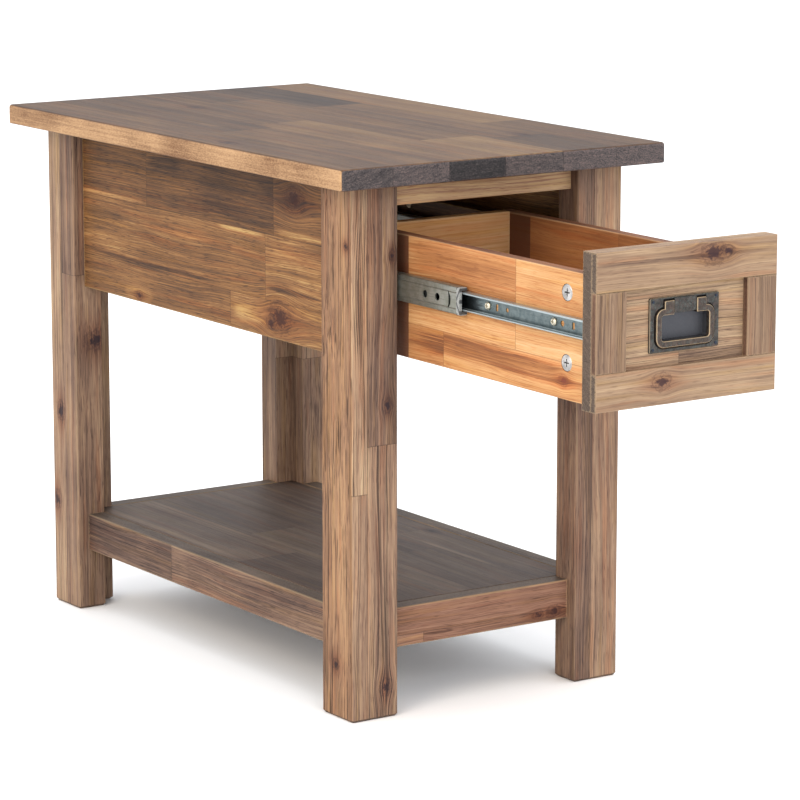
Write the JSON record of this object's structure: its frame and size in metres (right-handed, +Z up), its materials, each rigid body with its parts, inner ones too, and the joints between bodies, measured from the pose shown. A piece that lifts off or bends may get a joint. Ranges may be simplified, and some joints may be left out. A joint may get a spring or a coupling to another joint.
{
  "type": "side table with drawer",
  "caption": "Narrow wooden side table with a full-extension drawer, a flush bail pull and a low shelf between square legs.",
  "frame": {"origin": "on the floor, under the middle of the whole table with its drawer standing open as stored", "axes": "+Z up, the drawer opens towards -Y, +X to the right as seen from the front"},
  "size_m": [0.356, 0.869, 0.508],
  "materials": {
    "tabletop_wood": "cool grey-brown stain over glued staves",
    "leg_wood": "brown stain, wire-brushed grain",
    "apron_wood": "warm brown stain over glued staves",
    "shelf_wood": "dark brown stain over glued staves",
    "inner_wood": "brown stain",
    "drawer_front_wood": "light weathered brown stain",
    "drawer_box_wood": "clear honey lacquer",
    "slide_steel": "zinc plated sheet",
    "ball_steel": "polished",
    "stop_plastic": "moulded, matte",
    "screw_steel": "nickel plated",
    "cam_zinc": "cast, satin",
    "pull_bronze": "dark antique bronze, worn to brass on the edges"
  },
  "bodies": {
    "table": {"batten_screws": "screw_steel", "cabinet_member_screws": "screw_steel", "frame_dowels": "inner_wood", "front_left_corner_block": "inner_wood", "front_left_leg": "leg_wood", "front_right_corner_block": "inner_wood", "front_right_leg": "leg_wood", "front_shelf_rail": "shelf_wood", "front_top_rail": "apron_wood", "left_apron": "apron_wood", "left_cabinet_member": "slide_steel", "left_shelf_rail": "shelf_wood", "left_slide_batten": "inner_wood", "rear_apron": "apron_wood", "rear_left_corner_block": "inner_wood", "rear_left_leg": "leg_wood", "rear_right_corner_block": "inner_wood", "rear_right_leg": "leg_wood", "rear_shelf_rail": "shelf_wood", "right_apron": "apron_wood", "right_cabinet_member": "slide_steel", "right_shelf_rail": "shelf_wood", "right_slide_batten": "inner_wood", "shelf_panel": "shelf_wood", "tabletop": "tabletop_wood", "tabletop_screws": "screw_steel"},
    "drawer": {"cam_bolts": "screw_steel", "cam_locks": "cam_zinc", "drawer_back": "drawer_box_wood", "drawer_back_dowels": "inner_wood", "drawer_bottom": "drawer_box_wood", "drawer_front_board": "drawer_front_wood", "drawer_front_bottom_strip": "drawer_front_wood", "drawer_front_left_stile": "drawer_front_wood", "drawer_front_right_stile": "drawer_front_wood", "drawer_front_top_strip": "drawer_front_wood", "drawer_left_side": "drawer_box_wood", "drawer_member_screws": "screw_steel", "drawer_right_side": "drawer_box_wood", "left_drawer_member": "slide_steel", "pull_pins": "pull_bronze", "pull_pivot_pin": "pull_bronze", "pull_plate": "pull_bronze", "right_drawer_member": "slide_steel"},
    "left_middle": {"left_middle_member": "slide_steel", "left_slide_bumper": "stop_plastic"},
    "left_outer_cage": {"left_outer_ball_cage": "slide_steel", "left_outer_balls": "ball_steel"},
    "left_inner_cage": {"left_inner_ball_cage": "slide_steel", "left_inner_balls": "ball_steel"},
    "right_middle": {"right_middle_member": "slide_steel", "right_slide_bumper": "stop_plastic"},
    "right_outer_cage": {"right_outer_ball_cage": "slide_steel", "right_outer_balls": "ball_steel"},
    "right_inner_cage": {"right_inner_ball_cage": "slide_steel", "right_inner_balls": "ball_steel"},
    "pull_bail": {"pull_bail": "pull_bronze"}
  },
  "joints": [
    {"name": "drawer_slide", "type": "slide", "parent": "table", "child": "drawer", "axis": [0, -1, 0], "range_m": [-0.2995, 0.0505]},
    {"name": "left_middle_slide", "type": "slide", "parent": "table", "child": "left_middle", "axis": [0, -1, 0], "range_m": [-0.14976, 0.02526]},
    {"name": "left_outer_cage_slide", "type": "slide", "parent": "table", "child": "left_outer_cage", "axis": [0, -1, 0], "range_m": [-0.07489, 0.01264]},
    {"name": "left_inner_cage_slide", "type": "slide", "parent": "table", "child": "left_inner_cage", "axis": [0, -1, 0], "range_m": [-0.22464, 0.03789]},
    {"name": "right_middle_slide", "type": "slide", "parent": "table", "child": "right_middle", "axis": [0, -1, 0], "range_m": [-0.14976, 0.02526]},
    {"name": "right_outer_cage_slide", "type": "slide", "parent": "table", "child": "right_outer_cage", "axis": [0, -1, 0], "range_m": [-0.07489, 0.01264]},
    {"name": "right_inner_cage_slide", "type": "slide", "parent": "table", "child": "right_inner_cage", "axis": [0, -1, 0], "range_m": [-0.22464, 0.03789]},
    {"name": "bail_hinge", "type": "hinge", "parent": "drawer", "child": "pull_bail", "pos_m": [0, -0.4296, 0.4114], "axis": [-1, 0, 0], "range_deg": [0, 90]}
  ],
  "couplings": [
    {"joint": "left_middle_slide", "follows": "drawer_slide", "ratio": 0.5},
    {"joint": "left_outer_cage_slide", "follows": "drawer_slide", "ratio": 0.25},
    {"joint": "left_inner_cage_slide", "follows": "drawer_slide", "ratio": 0.75},
    {"joint": "right_middle_slide", "follows": "drawer_slide", "ratio": 0.5},
    {"joint": "right_outer_cage_slide", "follows": "drawer_slide", "ratio": 0.25},
    {"joint": "right_inner_cage_slide", "follows": "drawer_slide", "ratio": 0.75}
  ]
}
